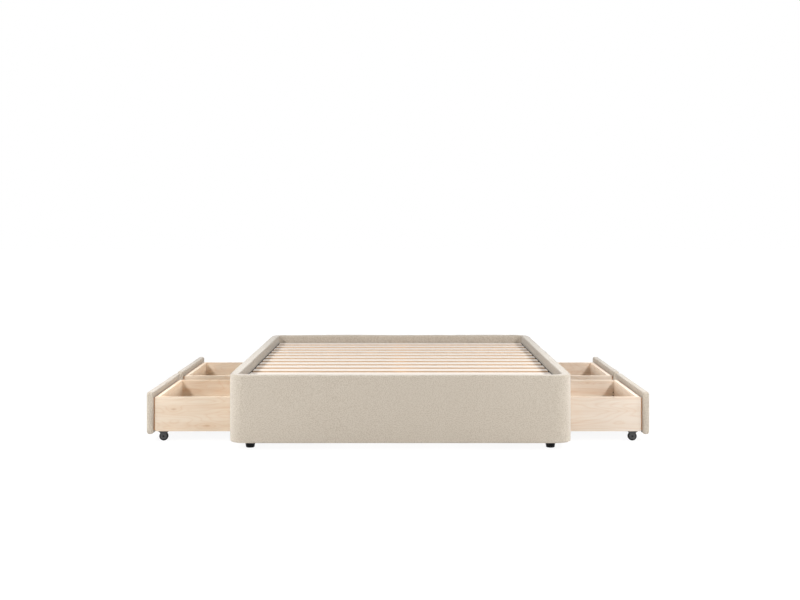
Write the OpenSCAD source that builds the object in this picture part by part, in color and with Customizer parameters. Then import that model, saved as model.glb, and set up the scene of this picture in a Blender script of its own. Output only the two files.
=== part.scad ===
// Divan bed base: an upholstered frame with a slatted top and four drawers that roll on castors.
// The foot end faces -Y, the floor is z = 0 and the origin is under the middle centre leg.
// The drawers stand open: the left pair a little further than the right pair.

/* [Frame] */
// Outside width across the upholstered sides
bed_width = 1620; // [1500:10:1900]
// Outside length from foot panel to head panel
bed_length = 2130; // [2060:10:2300]
// Height of the padded rim above the floor
base_height = 355; // [345:5:400]
// Space between the floor and the underside of the panels
ground_gap = 34; // [24:1:40]
// Outside radius of the four corners, seen from above
corner_radius = 80; // [65:5:100]
// Thickness of the wooden panels inside the upholstery
board_thickness = 18; // [15:1:22]
// Height of the rim above the top of the slats
recess_depth = 45; // [35:1:60]

/* [Upholstery] */
// Foam and fabric on the outside of a panel
outer_padding = 15; // [10:1:20]
// Foam and fabric on the inside of the rim
inner_padding = 12; // [8:1:16]
// Foam and fabric over the top edge of a panel
top_padding = 15; // [12:1:22]
// Rounding of the rim's outer edge
rim_outer_round = 9; // [8:1:18]
// Rounding of the rim's inner edge
rim_inner_round = 11; // [6:1:14]
// Rounding of a panel's bottom edge
bottom_round = 7; // [3:1:9]
// Fabric turned in under a panel
fabric_turn = 2; // [1:0.5:3]
// Sewn joint left between two covers that meet
seam_gap = 0.4; // [0.3:0.1:1]

/* [Slats] */
// Number of slats
slat_count = 13; // [11:1:15]
// Width of a slat along the bed
slat_width = 90; // [60:5:100]
// Thickness of a slat
slat_thickness = 14; // [10:1:20]
// Rounding of a slat's long edges
slat_round = 3; // [1:1:5]
// Gap between a slat's end and the rim
slat_end_gap = 7; // [4:1:12]
// Gap between the first slat and the rim
slat_first_gap = 45; // [20:1:60]
// Width of the shelf that carries the slat ends
ledger_width = 40; // [30:1:60]
// Height of the ledger's upright leg
ledger_height = 40; // [30:1:48]
// Thickness of the ledger's metal
ledger_thickness = 4; // [2:0.5:5]
// Thickness of the upstand between the slats' ends and the rim
upstand_thickness = 3; // [2:0.5:4]
// Gap between the upstand and the rim
upstand_gap = 1; // [0.5:0.5:2]
// How far the upstand stays below the top of the slats
upstand_drop = 1; // [0.5:0.5:3]

/* [Centre support] */
// Width of the centre beam
beam_width = 70; // [50:5:90]
// Height of the centre beam
beam_height = 60; // [45:5:70]
// Thickness of the beam's hanger
hanger_thickness = 3; // [2:0.5:5]
// Length of the hanger's seat under the beam
hanger_seat = 40; // [30:5:60]
// Diameter of a centre leg's tube
leg_diameter = 40; // [30:2:50]
// Diameter of a centre leg's foot
leg_foot_diameter = 58; // [50:2:66]
// Height of a centre leg's foot
leg_foot_height = 12; // [8:1:16]
// Diameter of the flange under the beam
leg_flange_diameter = 66; // [56:2:80]
// Thickness of the flange under the beam
leg_flange_thickness = 5; // [3:1:8]
// Distance between centre legs
leg_spacing = 640; // [500:10:800]

/* [Corners and glides] */
// Side of a corner post
post_side = 90; // [88:2:100]
// Gap between the posts and the ledgers above them
post_top_gap = 6; // [3:1:12]
// Width of the middle posts along the bed
mid_post_width = 60; // [50:2:64]
// Depth of the middle posts across the bed
mid_post_depth = 60; // [54:2:70]
// Distance of a corner glide's centre from the outside of both panels
glide_inset = 94; // [88:1:100]
// Diameter of a glide at the top
glide_top_diameter = 52; // [44:1:58]
// Diameter of a glide on the floor
glide_foot_diameter = 41; // [34:1:43]
// Rounding of a glide's floor edge
glide_round = 4; // [2:1:6]
// Diameter of the panel bolts
bolt_diameter = 8; // [6:1:10]
// Depth of the panel bolts in a panel
bolt_bite = 12; // [8:1:14]
// Diameter of a bolt's head
bolt_head_diameter = 16; // [14:1:20]
// Height of a bolt's head
bolt_head_height = 5; // [3:1:7]
// Clearance around a bolt in its hole
bolt_clearance = 0.3; // [0.2:0.1:0.5]

/* [Drawer fronts] */
// Length of a padded drawer front along the bed
pad_length = 785; // [700:5:790]
// Height of a padded drawer front
pad_height = 208; // [190:1:215]
// Thickness of a padded drawer front
pad_thickness = 30; // [26:1:34]
// Rounding of the pad's face edge
pad_round = 7; // [6:1:14]
// Rounding of the pad's four corners, seen from the side
pad_corner = 14; // [10:1:20]
// Fall of the padded face from its flat middle to the start of its edge
pad_crown = 1.6; // [0.5:0.1:3]
// Distance over which the face falls
pad_fall = 45; // [30:1:60]
// How far the sides draw in towards the back
pad_draw_in = 1.5; // [0.5:0.1:3]
// Thickness of the board inside a pad
pad_board = 18; // [15:1:20]
// Padding around the edges of that board
pad_edge = 12; // [9:1:14]
// Fabric turned over the back of that board, as far as the spacer
pad_wrap = 1; // [0.5:0.5:2]
// Gap between the two drawer fronts of one side
mid_gap = 72; // [70:1:90]
// Clearance around a drawer front in its opening
front_clearance = 3; // [2:0.5:5]
// Thickness of the spacer between a pad and its box
spacer_thickness = 7; // [4:0.5:10]
// How far the spacer stays inside the outline of the box
spacer_inset = 5; // [3:1:12]

/* [Drawer boxes] */
// Outside width of a box along the bed
box_width = 676; // [560:4:680]
// Outside length of a box across the bed
box_length = 660; // [560:5:680]
// Height of a box
box_height = 168; // [120:2:172]
// Height of a box's underside above the floor
box_floor_gap = 48; // [46:1:54]
// Distance from the foot end of a pad to its box
box_offset = 16; // [10:1:60]
// Thickness of the side boards
side_thickness = 18; // [14:1:20]
// Thickness of the front board
box_front_thickness = 22; // [16:1:24]
// Thickness of the back board
box_back_thickness = 18; // [14:1:20]
// Thickness of the bottom
bottom_thickness = 12; // [8:1:15]
// Rounding of the top edges of the boards
board_round = 1.5; // [0.5:0.5:3]
// How far the left drawers stand open
left_open = 430; // [100:1:500]
// How far the right drawers stand open
right_open = 407; // [100:1:500]

/* [Castors] */
// Diameter of a wheel
wheel_diameter = 44; // [36:1:44]
// Width of a wheel
wheel_width = 16; // [12:1:20]
// Rounding of the tyre
tyre_round = 3; // [1:0.5:4]
// Diameter of the recess in a wheel's side
wheel_recess_diameter = 30; // [24:1:32]
// Depth of that recess
wheel_recess = 1.2; // [0.5:0.1:2]
// Diameter of an axle
axle_diameter = 6; // [4:0.5:8]
// Running clearance between axle and wheel, on the radius
axle_clearance = 0.05; // [0.02:0.01:0.1]
// Gap between a wheel and the cheeks beside it
wheel_side_gap = 0.6; // [0.4:0.1:1]
// Thickness of a cheek
cheek_thickness = 2.5; // [2:0.5:3]
// Radius of a cheek's round end
cheek_radius = 16; // [12:1:16]
// Width of the neck of a cheek
neck_width = 28; // [22:1:30]
// Length of the mounting plate, across the bed
castor_plate_length = 48; // [44:1:56]
// Width of the mounting plate, along the bed
castor_plate_width = 40; // [34:1:46]
// Thickness of the mounting plate
castor_plate_thickness = 2.5; // [1.5:0.5:3]
// Height of the flared shoulder under the plate
shoulder_height = 10; // [6:1:12]
// Head of an axle outside a cheek
axle_head = 1.2; // [0.8:0.1:2]
// Distance from a box's front to the axles of its outer castors
outer_castor_inset = 40; // [30:1:70]
// Distance from a box's back to the axles of its inner castors
inner_castor_inset = 40; // [30:1:70]
// Distance from a box's side to the edge of the castor plate
castor_side_inset = 1; // [0.5:0.5:10]

/* [Hidden] */
$fn = 64;
half_width = bed_width / 2;
half_length = bed_length / 2;
rim_width = outer_padding + board_thickness + inner_padding;
inner_half_width = half_width - rim_width;
inner_half_length = half_length - rim_width;
board_inside = outer_padding + board_thickness;
board_top = base_height - top_padding;
board_bottom = ground_gap + fabric_turn;
corner_x = half_width - corner_radius;
corner_y = half_length - corner_radius;
slat_top = base_height - recess_depth;
slat_seat = slat_top - slat_thickness;
slat_length = 2 * (inner_half_width - slat_end_gap);
slat_pitch = (2 * (inner_half_length - slat_first_gap) - slat_width) / (slat_count - 1);
beam_bottom = slat_seat - beam_height;
post_top = slat_seat - ledger_height - post_top_gap;
opening_top = ground_gap + pad_height + front_clearance;
pad_start_front = -mid_gap / 2 - pad_length;
pad_start_rear = mid_gap / 2;
box_front_x = -pad_thickness - spacer_thickness;
box_back_x = box_front_x - box_length;
box_top = box_floor_gap + box_height;
wheel_radius = wheel_diameter / 2;
cheek_gap = wheel_width + 2 * wheel_side_gap;
castor_width = cheek_gap + 2 * cheek_thickness;
castor_plate_bottom = box_floor_gap - castor_plate_thickness;
soft_gap = 0.3;

FABRIC = [0.79, 0.75, 0.69];
BOARD = [0.72, 0.55, 0.38];
PINE = [0.91, 0.81, 0.70];
BLACK = [0.06, 0.06, 0.06];
STEEL = [0.55, 0.55, 0.57];
GREY = [0.25, 0.25, 0.26];

// Each drawer: its name, the side that it opens to, and the foot end of its pad
DRAWERS = [
    ["left_front", -1, pad_start_front],
    ["left_rear", -1, pad_start_rear],
    ["right_front", 1, pad_start_front],
    ["right_rear", 1, pad_start_rear]
];
DRAWER_PIECES = ["drawer_pad", "drawer_panel", "box_front", "box_sides", "box_back",
    "box_bottom", "castors", "wheel_1", "wheel_2", "wheel_3", "wheel_4"];

// Where the wheels of a drawer stand, in the drawer's own frame: outer pair, then inner pair
CASTOR_X = [box_front_x - outer_castor_inset, box_back_x + inner_castor_inset];
CASTOR_Y = [box_offset + castor_side_inset + castor_plate_width / 2,
    box_offset + box_width - castor_side_inset - castor_plate_width / 2];
CASTORS = [for (x = CASTOR_X) for (y = CASTOR_Y) [x, y]];

// A rectangle from one corner to the other
module span2(a, b) {
    translate(a) square(b - a);
}

// A block from one corner to the other
module span3(a, b) {
    translate(a) cube(b - a);
}

// A rectangle with all four corners rounded
module rounded_rect(a, b, r) {
    span2(a + [r, 0], b - [r, 0]);
    span2(a + [0, r], b - [0, r]);
    for (x = [a[0] + r, b[0] - r]) for (y = [a[1] + r, b[1] - r]) translate([x, y]) circle(r);
}

// Section of a panel's upholstery: x is measured inwards from the outer face, y is height.
// It wraps the outside, the top edge and the inside of the rim, and turns in at the bottom.
module cover_section() {
    top = base_height;
    difference() {
        union() {
            span2([bottom_round, ground_gap], [board_inside, ground_gap + bottom_round]);
            span2([0, ground_gap + bottom_round], [outer_padding, top - rim_outer_round]);
            translate([bottom_round, ground_gap + bottom_round]) circle(bottom_round);
            translate([rim_outer_round, top - rim_outer_round]) circle(rim_outer_round);
            translate([rim_width - rim_inner_round, top - rim_inner_round])
                circle(rim_inner_round);
            span2([rim_outer_round, board_top - 1], [rim_width - rim_inner_round, top]);
            span2([0, board_top - rim_outer_round],
                [rim_width, top - max(rim_outer_round, rim_inner_round)]);
            span2([board_inside, slat_seat + soft_gap], [rim_width, top - rim_inner_round]);
        }
        span2([outer_padding, board_bottom], [board_inside, board_top]);
    }
}

// Section for the straight run beside a corner, turned so that x points outwards from its centre
module corner_section() {
    translate([corner_radius, 0]) mirror([1, 0]) cover_section();
}

// Upholstery of the foot end with its two rounded corners; the head end is its mirror image
module end_cover() {
    color(FABRIC) {
        translate([corner_x, -half_length, 0]) rotate([90, 0, -90])
            linear_extrude(2 * corner_x) mirror([1, 0]) cover_section();
        for (s = [0, 1]) mirror([s, 0, 0]) translate([corner_x, -corner_y, 0])
            rotate([0, 0, -90]) rotate_extrude(angle = 90) corner_section();
    }
}

module foot_cover() {
    end_cover();
}

module head_cover() {
    mirror([0, 1, 0]) end_cover();
}

// The two drawer openings of a side, cut through whatever lies between x = from and x = to
module drawer_openings(from, to) {
    for (y = [pad_start_front, pad_start_rear])
        span3([from, y - front_clearance, ground_gap - 1],
            [to, y + pad_length + front_clearance, opening_top]);
}

// Upholstery of the right side: a rail over the drawers and three uprights between them
module side_cover() {
    run = 2 * corner_y - 2 * seam_gap;
    color(FABRIC) difference() {
        translate([half_width, run / 2, 0]) rotate([90, 0, 0])
            linear_extrude(run) mirror([1, 0]) cover_section();
        drawer_openings(inner_half_width - 1, half_width + 1);
    }
}

module right_cover() {
    side_cover();
}

module left_cover() {
    mirror([1, 0, 0]) side_cover();
}

// Places a child at each panel bolt of one end's two corners: into the end board, then the side
module end_bolts() {
    x = half_width - board_inside - post_side * 0.8;
    for (s = [0, 1]) mirror([s, 0, 0]) for (z = [0.35, 0.8])
        translate([x, half_length - board_inside, board_bottom + z * (post_top - board_bottom)])
            rotate([-90, 0, 0]) children();
}

module side_bolts() {
    y = half_length - board_inside - post_side * 0.8;
    for (s = [0, 1]) mirror([0, s, 0]) for (z = [0.2, 0.65])
        translate([half_width - board_inside, y, board_bottom + z * (post_top - board_bottom)])
            rotate([0, 90, 0]) children();
}

// The clearance hole of a bolt, through a post and into a board
module bolt_hole() {
    translate([0, 0, -post_side - 1])
        cylinder(h = post_side + 1 + bolt_bite + 1, d = bolt_diameter + 2 * bolt_clearance);
}

// A bolt whose head lies on the inner face of the post
module bolt() {
    translate([0, 0, -post_side]) {
        cylinder(h = post_side + bolt_bite, d = bolt_diameter);
        translate([0, 0, -bolt_head_height]) difference() {
            cylinder(h = bolt_head_height, d = bolt_head_diameter);
            translate([0, 0, -1]) cylinder(h = bolt_head_height / 2 + 1,
                d = bolt_diameter * 0.8, $fn = 6);
        }
    }
}

// Wooden panel inside the head upholstery; the foot one is its mirror image
module end_board() {
    color(BOARD) difference() {
        span3([-corner_x, half_length - board_inside, board_bottom],
            [corner_x, half_length - outer_padding, board_top]);
        end_bolts() bolt_hole();
    }
}

module head_board() {
    end_board();
}

module foot_board() {
    mirror([0, 1, 0]) end_board();
}

// Wooden side panel, cut out from below for its two drawers
module side_board() {
    color(BOARD) difference() {
        span3([half_width - board_inside, -corner_y, board_bottom],
            [half_width - outer_padding, corner_y, board_top]);
        drawer_openings(inner_half_width, half_width);
        side_bolts() bolt_hole();
    }
}

module right_board() {
    side_board();
}

module left_board() {
    mirror([1, 0, 0]) side_board();
}

// Black angle along each side that carries the slat ends
module side_ledgers() {
    face = half_width - board_inside;
    upstand_face = inner_half_width - upstand_gap;
    color(BLACK) for (s = [0, 1]) mirror([s, 0, 0])
        translate([0, corner_y, 0]) rotate([90, 0, 0]) linear_extrude(2 * corner_y) {
            span2([face - ledger_width, slat_seat - ledger_thickness], [face, slat_seat]);
            span2([face - ledger_thickness, slat_seat - ledger_height], [face, slat_seat]);
            span2([upstand_face - upstand_thickness, slat_seat - ledger_thickness],
                [upstand_face, slat_top - upstand_drop]);
        }
}

module slats() {
    color(PINE) for (i = [0 : slat_count - 1])
        translate([-slat_length / 2, (i - (slat_count - 1) / 2) * slat_pitch, slat_seat])
            rotate([90, 0, 90]) linear_extrude(slat_length)
                rounded_rect([-slat_width / 2, 0], [slat_width / 2, slat_thickness], slat_round);
}

module centre_beam() {
    end = half_length - board_inside - hanger_thickness - soft_gap;
    color(PINE) span3([-beam_width / 2, -end, beam_bottom], [beam_width / 2, end, slat_seat]);
}

// Steel hanger that holds each end of the beam on its end board
module beam_hangers() {
    wall = half_length - board_inside;
    side = beam_width / 2 + soft_gap;
    color(STEEL) for (s = [0, 1]) mirror([0, s, 0]) {
        span3([-side - hanger_seat / 2, wall - hanger_thickness, beam_bottom - hanger_thickness],
            [side + hanger_seat / 2, wall, slat_seat - ledger_thickness]);
        span3([-side, wall - hanger_thickness - hanger_seat, beam_bottom - hanger_thickness],
            [side, wall - hanger_thickness, beam_bottom]);
        for (t = [0, 1]) mirror([t, 0, 0])
            span3([side, wall - hanger_thickness - hanger_seat, beam_bottom - hanger_thickness],
                [side + hanger_thickness, wall - hanger_thickness, slat_seat - beam_height / 3]);
    }
}

// Legs under the beam: a tube with a flange at the top and a rounded foot on the floor
module centre_legs() {
    foot = leg_foot_diameter / 2;
    edge = leg_foot_height / 3;
    color(BLACK) for (y = [-leg_spacing, 0, leg_spacing]) translate([0, y, 0]) {
        rotate_extrude() {
            span2([0, 0], [foot - edge, leg_foot_height]);
            span2([0, edge], [foot, leg_foot_height - edge]);
            translate([foot - edge, edge]) circle(edge);
            translate([foot - edge, leg_foot_height - edge]) circle(edge);
            span2([0, 0], [leg_diameter / 2, beam_bottom]);
            span2([0, beam_bottom - leg_flange_thickness], [leg_flange_diameter / 2, beam_bottom]);
        }
    }
}

// Post behind one corner: a curved shell that carries the cover, on a post that the glide is fixed to
module corner_post() {
    shell_outer = corner_radius - outer_padding;
    shell_inner = corner_radius - board_inside;
    wall_x = half_width - board_inside;
    wall_y = half_length - board_inside;
    translate([corner_x, corner_y, 0]) rotate_extrude(angle = 90) {
        span2([shell_inner, board_bottom], [shell_outer, board_top]);
        span2([0, board_bottom], [shell_outer, post_top]);
    }
    span3([wall_x - post_side, wall_y - post_side, ground_gap], [corner_x, wall_y, post_top]);
    span3([wall_x - post_side, wall_y - post_side, ground_gap], [wall_x, corner_y, post_top]);
}

// Four corner posts, and a post in the middle of each side
module frame_posts() {
    color(PINE) {
        for (sx = [0, 1]) for (sy = [0, 1]) mirror([sx, 0, 0]) mirror([0, sy, 0])
            difference() {
                corner_post();
                end_bolts() bolt_hole();
                side_bolts() bolt_hole();
            }
        for (s = [0, 1]) mirror([s, 0, 0])
            span3([half_width - board_inside - mid_post_depth, -mid_post_width / 2, ground_gap],
                [half_width - board_inside, mid_post_width / 2, post_top]);
    }
}

module panel_bolts() {
    color(STEEL) {
        for (s = [0, 1]) mirror([0, s, 0]) end_bolts() bolt();
        for (s = [0, 1]) mirror([s, 0, 0]) side_bolts() bolt();
    }
}

// Tapered glides: one at each corner and one under each middle post
module glides() {
    top = glide_top_diameter / 2;
    foot = glide_foot_diameter / 2;
    // The round edge meets the taper where the taper's own slope leaves it
    slope = atan2(top - foot, ground_gap);
    x = half_width - glide_inset;
    y = half_length - glide_inset;
    mid_x = half_width - board_inside - mid_post_depth / 2;
    color(BLACK)
        for (p = [[x, y], [-x, y], [x, -y], [-x, -y], [mid_x, 0], [-mid_x, 0]])
            translate([p[0], p[1], 0]) rotate_extrude() {
                polygon([[0, 0], [foot - glide_round, 0],
                    [foot - glide_round + glide_round * cos(slope),
                        glide_round - glide_round * sin(slope)],
                    [top, ground_gap], [0, ground_gap]]);
                translate([foot - glide_round, glide_round]) circle(glide_round);
            }
}

// Drawer frame: x = 0 is the pad's face, the box lies towards -X, y = 0 is the pad's foot end
module place_drawer(d) {
    mirror([d[1] < 0 ? 1 : 0, 0, 0])
        translate([half_width + (d[1] < 0 ? left_open : right_open), d[2], 0]) children();
}

// Points round a pad's outline, inset by a distance, each corner an arc
PAD_ARC = 5;
function pad_ring(inset, x) = [
    for (c = [[1, 1], [0, 1], [0, 0], [1, 0]])
        let (
            r = max(pad_corner - inset, 1),
            start = c == [1, 1] ? 0 : c == [0, 1] ? 90 : c == [0, 0] ? 180 : 270,
            cy = c[0] == 1 ? pad_length - inset - r : inset + r,
            cz = ground_gap + (c[1] == 1 ? pad_height - inset - r : inset + r)
        )
        for (i = [0 : PAD_ARC]) let (a = start + 90 * i / PAD_ARC) [x, cy + r * cos(a), cz + r * sin(a)]
];

// Insets and depths of the rings, from the flat middle of the face round to the back
PAD_RINGS = concat(
    [for (i = [0 : 2]) let (t = i / 3) [pad_fall * (1 - t) + pad_round * t, pad_crown * t * t]],
    [for (i = [0 : 5]) let (a = 90 * i / 5) [
        pad_round * (1 - sin(a)),
        pad_crown + (pad_round - pad_crown) * (1 - cos(a))
    ]],
    [
        [pad_draw_in / 2, (pad_round + pad_thickness) / 2],
        [pad_draw_in, pad_thickness - 4],
        [pad_draw_in + 1, pad_thickness - 1.5],
        [pad_draw_in + 3, pad_thickness]
    ]
);

// The board that a pad is wrapped round, and the spacer that stands out through the fabric behind it
module pad_core() {
    span3([-pad_thickness + pad_wrap, pad_edge, ground_gap + pad_edge],
        [-pad_thickness + pad_wrap + pad_board, pad_length - pad_edge,
            ground_gap + pad_height - pad_edge]);
    span3([box_front_x, box_offset + spacer_inset, box_floor_gap + spacer_inset],
        [-pad_thickness + pad_wrap, box_offset + box_width - spacer_inset, box_top - spacer_inset]);
}

// Padded drawer front: a crowned face, round edges and sides that draw in to the back
module drawer_pad() {
    n = 4 * (PAD_ARC + 1);
    rings = len(PAD_RINGS);
    middle = [pad_length / 2, ground_gap + pad_height / 2];
    points = concat(
        [for (k = PAD_RINGS) each pad_ring(k[0], -k[1])],
        [[0, middle[0], middle[1]], [-pad_thickness, middle[0], middle[1]]]
    );
    walls = [for (k = [0 : rings - 2]) for (i = [0 : n - 1])
        let (a = k * n + i, b = k * n + (i + 1) % n) each [[a, b, a + n], [b, b + n, a + n]]];
    face = [for (i = [0 : n - 1]) [rings * n, (i + 1) % n, i]];
    back = [for (i = [0 : n - 1])
        [rings * n + 1, (rings - 1) * n + i, (rings - 1) * n + (i + 1) % n]];
    color(FABRIC) difference() {
        polyhedron(points, concat(walls, face, back));
        pad_core();
    }
}

// Wooden core of a drawer front, inside its pad
module drawer_panel() {
    color(BOARD) pad_core();
}

// A board of the box along Y, with its top edges rounded
module cross_board(x, thickness, bottom) {
    translate([x, box_offset + side_thickness, 0]) mirror([0, 1, 0]) rotate([90, 0, 0])
        linear_extrude(box_width - 2 * side_thickness) {
            span2([0, bottom], [thickness, box_top - board_round]);
            rounded_rect([0, box_top - 4 * board_round], [thickness, box_top], board_round);
        }
}

module box_front() {
    color(PINE) cross_board(box_front_x - box_front_thickness, box_front_thickness, box_floor_gap);
}

module box_back() {
    color(PINE) cross_board(box_back_x, box_back_thickness, box_floor_gap);
}

// The two long boards of the box, which run past the ends of the front and the back
module box_sides() {
    color(PINE) for (y = [box_offset, box_offset + box_width - side_thickness])
        translate([box_back_x, y, 0]) rotate([90, 0, 90]) linear_extrude(box_length) {
            span2([0, box_floor_gap], [side_thickness, box_top - board_round]);
            rounded_rect([0, box_top - 4 * board_round], [side_thickness, box_top], board_round);
        }
}

module box_bottom() {
    color(PINE) span3(
        [box_back_x + box_back_thickness, box_offset + side_thickness, box_floor_gap],
        [box_front_x - box_front_thickness, box_offset + box_width - side_thickness,
            box_floor_gap + bottom_thickness]);
}

// Outline of a castor's cheek, seen along the axle
module cheek_outline() {
    translate([0, wheel_radius]) circle(cheek_radius);
    shoulder = castor_plate_bottom - shoulder_height;
    polygon([
        [-neck_width / 2, wheel_radius], [neck_width / 2, wheel_radius],
        [neck_width / 2, shoulder], [castor_plate_length / 2, castor_plate_bottom],
        [-castor_plate_length / 2, castor_plate_bottom], [-neck_width / 2, shoulder]
    ]);
}

// Castor housing: a plate under the box, two cheeks and the axle that they hold
module castor_housing() {
    span3([-castor_plate_length / 2, -castor_plate_width / 2, castor_plate_bottom],
        [castor_plate_length / 2, castor_plate_width / 2, box_floor_gap]);
    for (s = [0, 1]) mirror([0, s, 0])
        translate([0, castor_width / 2, 0]) rotate([90, 0, 0])
            linear_extrude(cheek_thickness) cheek_outline();
    translate([0, castor_width / 2 + axle_head, wheel_radius]) rotate([90, 0, 0])
        cylinder(h = castor_width + 2 * axle_head, d = axle_diameter);
}

module castors() {
    color(BLACK) for (c = CASTORS) translate([c[0], c[1], 0]) castor_housing();
}

// Wheel on its axle: a rounded tyre and a recess round the hub on both sides
module wheel() {
    bore = axle_diameter / 2 + axle_clearance;
    hub = axle_diameter / 2 + 3;
    half = wheel_width / 2;
    recess = wheel_recess_diameter / 2;
    color(GREY) translate([0, 0, wheel_radius]) rotate([90, 0, 0]) rotate_extrude()
        difference() {
            rounded_rect([bore - tyre_round, -half], [wheel_radius, half], tyre_round);
            span2([bore - tyre_round - 1, -half - 1], [bore, half + 1]);
            span2([hub, half - wheel_recess], [recess, half + 1]);
            span2([hub, -half - 1], [recess, -half + wheel_recess]);
        }
}

foot_cover();
head_cover();
left_cover();
right_cover();
foot_board();
head_board();
left_board();
right_board();
side_ledgers();
slats();
centre_beam();
beam_hangers();
centre_legs();
frame_posts();
panel_bolts();
glides();
for (d = DRAWERS) {
    place_drawer(d) drawer_pad();
    place_drawer(d) drawer_panel();
    place_drawer(d) box_front();
    place_drawer(d) box_sides();
    place_drawer(d) box_back();
    place_drawer(d) box_bottom();
    place_drawer(d) castors();
    for (i = [1 : len(CASTORS)])
        place_drawer(d) translate([CASTORS[i - 1][0], CASTORS[i - 1][1], 0]) wheel();
}
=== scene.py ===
"""Divan bed base in beige fabric, with a slatted top and four pine drawers that roll on castors.

Lengths are in metres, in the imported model's own frame: the foot end faces -Y and +Z is up.
"""
import math

import bmesh
import bpy
import numpy as np
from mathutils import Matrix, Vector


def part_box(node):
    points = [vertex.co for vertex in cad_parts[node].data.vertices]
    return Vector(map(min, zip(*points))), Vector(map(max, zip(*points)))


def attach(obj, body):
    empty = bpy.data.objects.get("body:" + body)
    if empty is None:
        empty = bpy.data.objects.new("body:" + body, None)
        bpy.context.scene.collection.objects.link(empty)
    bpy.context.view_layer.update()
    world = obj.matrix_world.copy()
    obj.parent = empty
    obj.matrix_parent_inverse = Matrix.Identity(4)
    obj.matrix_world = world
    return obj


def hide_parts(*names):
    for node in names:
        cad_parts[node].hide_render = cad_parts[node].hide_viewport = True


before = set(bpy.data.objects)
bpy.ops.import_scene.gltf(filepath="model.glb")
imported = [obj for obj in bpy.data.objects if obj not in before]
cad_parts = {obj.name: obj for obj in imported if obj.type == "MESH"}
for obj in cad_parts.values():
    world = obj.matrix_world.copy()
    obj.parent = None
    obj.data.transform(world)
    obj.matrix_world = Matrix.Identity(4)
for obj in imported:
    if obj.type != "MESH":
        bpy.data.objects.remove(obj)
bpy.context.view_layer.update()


# Studio: a camera at eye height off the foot end, a white floor and backdrop, a long lamp above
# each side of the bed, which lights the drawers on that side from without, and a soft one behind.
FRAME_WIDTH = 800
FOCAL_PIXELS = 1272.7
SENSOR = 36.0
SIGHT_LIMIT = 200.0
EYE = (0.0008, -7.045, 1.078)
HORIZON_SHIFT = -0.0985
SIDE_SHIFT = -0.000625
SIDE_LAMP = (2.3, -2.1, 1.8)
SIDE_LAMP_SIZE = (0.4, 5.2)
SIDE_LAMP_POWER = 99.0
BACK_LAMP = (0.0, 3.6, 2.8)
BACK_LAMP_SIZE = (3.0, 1.0)
BACK_LAMP_POWER = 50.0
SKY_LIGHT = 0.16
FLOOR_HALF = 40.0
FLOOR_BOUNCE = 0.86
FLOOR_SHADE = 0.13
FLOOR_GLOW = 1.07
SHADE_REACH = (2.2, 4.5)

camera_data = bpy.data.cameras.new("camera")
camera_data.sensor_width = SENSOR
camera_data.lens = FOCAL_PIXELS / FRAME_WIDTH * SENSOR
camera_data.shift_x = SIDE_SHIFT
camera_data.shift_y = HORIZON_SHIFT
camera_data.clip_end = SIGHT_LIMIT
camera = bpy.data.objects.new("camera", camera_data)
camera.location = EYE
camera.rotation_euler = (math.pi / 2, 0.0, 0.0)
bpy.context.collection.objects.link(camera)
bpy.context.scene.camera = camera
bpy.context.scene.view_settings.view_transform = "Standard"


def area_lamp(name, place, turn, size, power):
    """A rectangular lamp, hidden from the camera, that faces down until it is turned."""
    data = bpy.data.lights.new(name, "AREA")
    data.shape = "RECTANGLE"
    data.size, data.size_y = size
    data.energy = power
    lamp = bpy.data.objects.new(name, data)
    lamp.location = place
    lamp.rotation_euler = turn
    lamp.visible_camera = False
    bpy.context.collection.objects.link(lamp)


for name, side in (("lamp_left", -1), ("lamp_right", 1)):
    tilt = math.atan2(SIDE_LAMP[0], SIDE_LAMP[2])
    area_lamp(name, (side * SIDE_LAMP[0], SIDE_LAMP[1], SIDE_LAMP[2]), (0.0, side * tilt, 0.0),
              SIDE_LAMP_SIZE, SIDE_LAMP_POWER)
area_lamp("lamp_back", BACK_LAMP, (-math.atan2(BACK_LAMP[1], BACK_LAMP[2]), 0.0, 0.0),
          BACK_LAMP_SIZE, BACK_LAMP_POWER)


def part(tree, kind, inputs=None, **settings):
    """Adds a shader node. settings are its properties; inputs its sockets, each a value or another
    node's output."""
    made = tree.nodes.new("ShaderNode" + kind)
    for key, value in settings.items():
        setattr(made, key, value)
    for key, value in (inputs or {}).items():
        if isinstance(value, bpy.types.NodeSocket):
            tree.links.new(value, made.inputs[key])
        else:
            made.inputs[key].default_value = value
    return made


def seen_directly(tree):
    """1 for rays that the viewer sees straight, in a gloss or through a glass, and 0 for light that
    falls on things."""
    path = part(tree, "LightPath").outputs
    either = part(tree, "Math", {0: path["Is Camera Ray"], 1: path["Is Glossy Ray"]}, operation="MAXIMUM")
    return part(tree, "Math", {0: either.outputs[0], 1: path["Is Transmission Ray"]},
                operation="MAXIMUM").outputs[0]


world = bpy.data.worlds.new("studio")
world.use_nodes = True
bpy.context.scene.world = world
sky = world.node_tree
light = part(sky, "Background", {"Color": (1, 1, 1, 1), "Strength": SKY_LIGHT})
white = part(sky, "Background", {"Color": (1, 1, 1, 1), "Strength": 1.0})
both = part(sky, "MixShader", {0: seen_directly(sky), 1: light.outputs[0], 2: white.outputs[0]})
sky.links.new(both.outputs[0], sky.nodes["World Output"].inputs["Surface"])

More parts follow.
